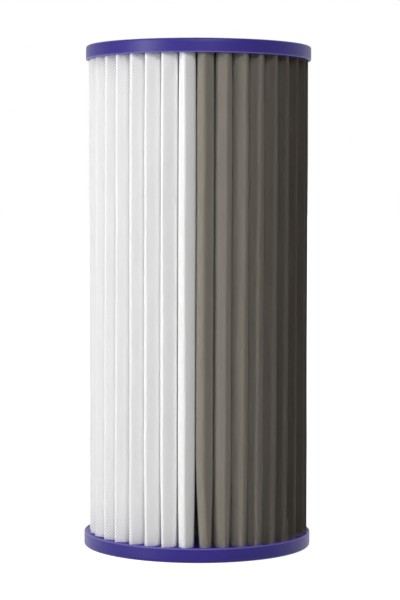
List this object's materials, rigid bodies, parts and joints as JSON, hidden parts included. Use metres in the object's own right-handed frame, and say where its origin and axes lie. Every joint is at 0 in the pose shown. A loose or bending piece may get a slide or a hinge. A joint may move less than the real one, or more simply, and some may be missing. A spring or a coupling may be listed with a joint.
{
  "type": "sediment filter cartridge",
  "caption": "Pleated sediment filter cartridge with soft violet end caps and a central bore, its media clean on the left and soiled on the right.",
  "frame": {"origin": "centre of the bottom end cap's flat outer face", "axes": "+Z along the cartridge's axis, up; -Y is the front, where the clean half at -X meets the soiled half at +X"},
  "size_m": [0.1134, 0.1134, 0.25],
  "materials": {
    "plastisol": "satin violet plastisol",
    "filter_media": "white non-woven polyester, its +X half soiled grey-brown",
    "core_plastic": "natural white moulded plastic"
  },
  "bodies": {
    "root": {"bottom_end_cap": "plastisol", "top_end_cap": "plastisol", "pleated_media": "filter_media", "core_tube": "core_plastic"}
  },
  "joints": []
}
